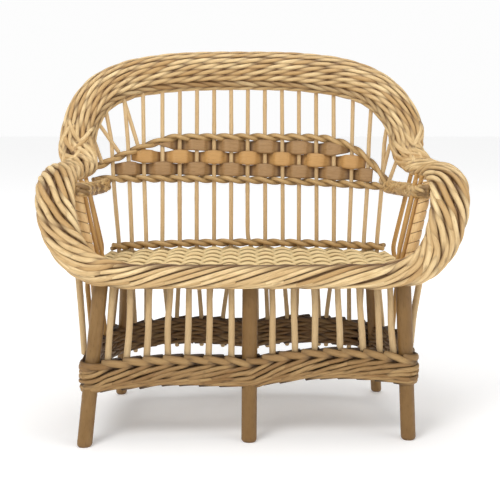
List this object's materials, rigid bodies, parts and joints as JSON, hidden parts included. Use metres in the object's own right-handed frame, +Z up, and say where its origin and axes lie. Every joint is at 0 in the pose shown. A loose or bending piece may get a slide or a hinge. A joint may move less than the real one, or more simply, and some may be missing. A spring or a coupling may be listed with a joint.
{
  "type": "doll settee",
  "caption": "Doll-size woven willow settee with straight legs, staked bow back, woven seat and a rolled border over back and arms; seats dolls or teddies",
  "frame": {"origin": "on the floor, under the middle of the bounding box", "axes": "+X to the sitter's left along the width, +Y towards the back, +Z up"},
  "size_m": [0.393, 0.2204, 0.3572],
  "materials": {
    "willow_leg": "satin, barked tan brown rod",
    "willow_stake": "satin, buff peeled rod",
    "willow_border": "satin, buff peeled rod",
    "willow_pairing": "satin, buff peeled rod",
    "split_gold": "smooth split willow skein",
    "split_brown": "smooth split willow skein",
    "cane_binding": "smooth flat binding cane",
    "seat_weave": "satin, pale buff rod",
    "skirt_weave": "satin, buff peeled rod"
  },
  "bodies": {
    "root": {"arm_post_left": "cane_binding", "arm_post_right": "cane_binding", "arm_roll_left": "willow_border", "arm_roll_right": "willow_border", "back_collar": "willow_border", "back_stake_1": "willow_stake", "back_stake_10": "willow_stake", "back_stake_11": "willow_stake", "back_stake_12": "willow_stake", "back_stake_13": "willow_stake", "back_stake_14": "willow_stake", "back_stake_15": "willow_stake", "back_stake_16": "willow_stake", "back_stake_17": "willow_stake", "back_stake_2": "willow_stake", "back_stake_3": "willow_stake", "back_stake_4": "willow_stake", "back_stake_5": "willow_stake", "back_stake_6": "willow_stake", "back_stake_7": "willow_stake", "back_stake_8": "willow_stake", "back_stake_9": "willow_stake", "band_rope_lower": "willow_pairing", "band_rope_upper": "willow_pairing", "band_strip_lower": "split_brown", "band_strip_middle": "split_gold", "band_strip_upper": "split_brown", "front_leg_left": "willow_leg", "front_leg_middle": "willow_leg", "front_leg_right": "willow_leg", "front_stake_1": "willow_stake", "front_stake_10": "willow_stake", "front_stake_11": "willow_stake", "front_stake_12": "willow_stake", "front_stake_13": "willow_stake", "front_stake_14": "willow_stake", "front_stake_2": "willow_stake", "front_stake_3": "willow_stake", "front_stake_4": "willow_stake", "front_stake_5": "willow_stake", "front_stake_6": "willow_stake", "front_stake_7": "willow_stake", "front_stake_8": "willow_stake", "front_stake_9": "willow_stake", "rear_leg_left": "willow_leg", "rear_leg_middle": "willow_leg", "rear_leg_right": "willow_leg", "seat_front_border": "willow_border", "seat_rear_rope": "willow_pairing", "seat_weave": "seat_weave", "side_stake_left_1": "willow_stake", "side_stake_left_2": "willow_stake", "side_stake_left_3": "willow_stake", "side_stake_right_1": "willow_stake", "side_stake_right_2": "willow_stake", "side_stake_right_3": "willow_stake", "skirt_front": "skirt_weave", "skirt_left": "skirt_weave", "skirt_rear": "skirt_weave", "skirt_right": "skirt_weave"}
  },
  "joints": []
}
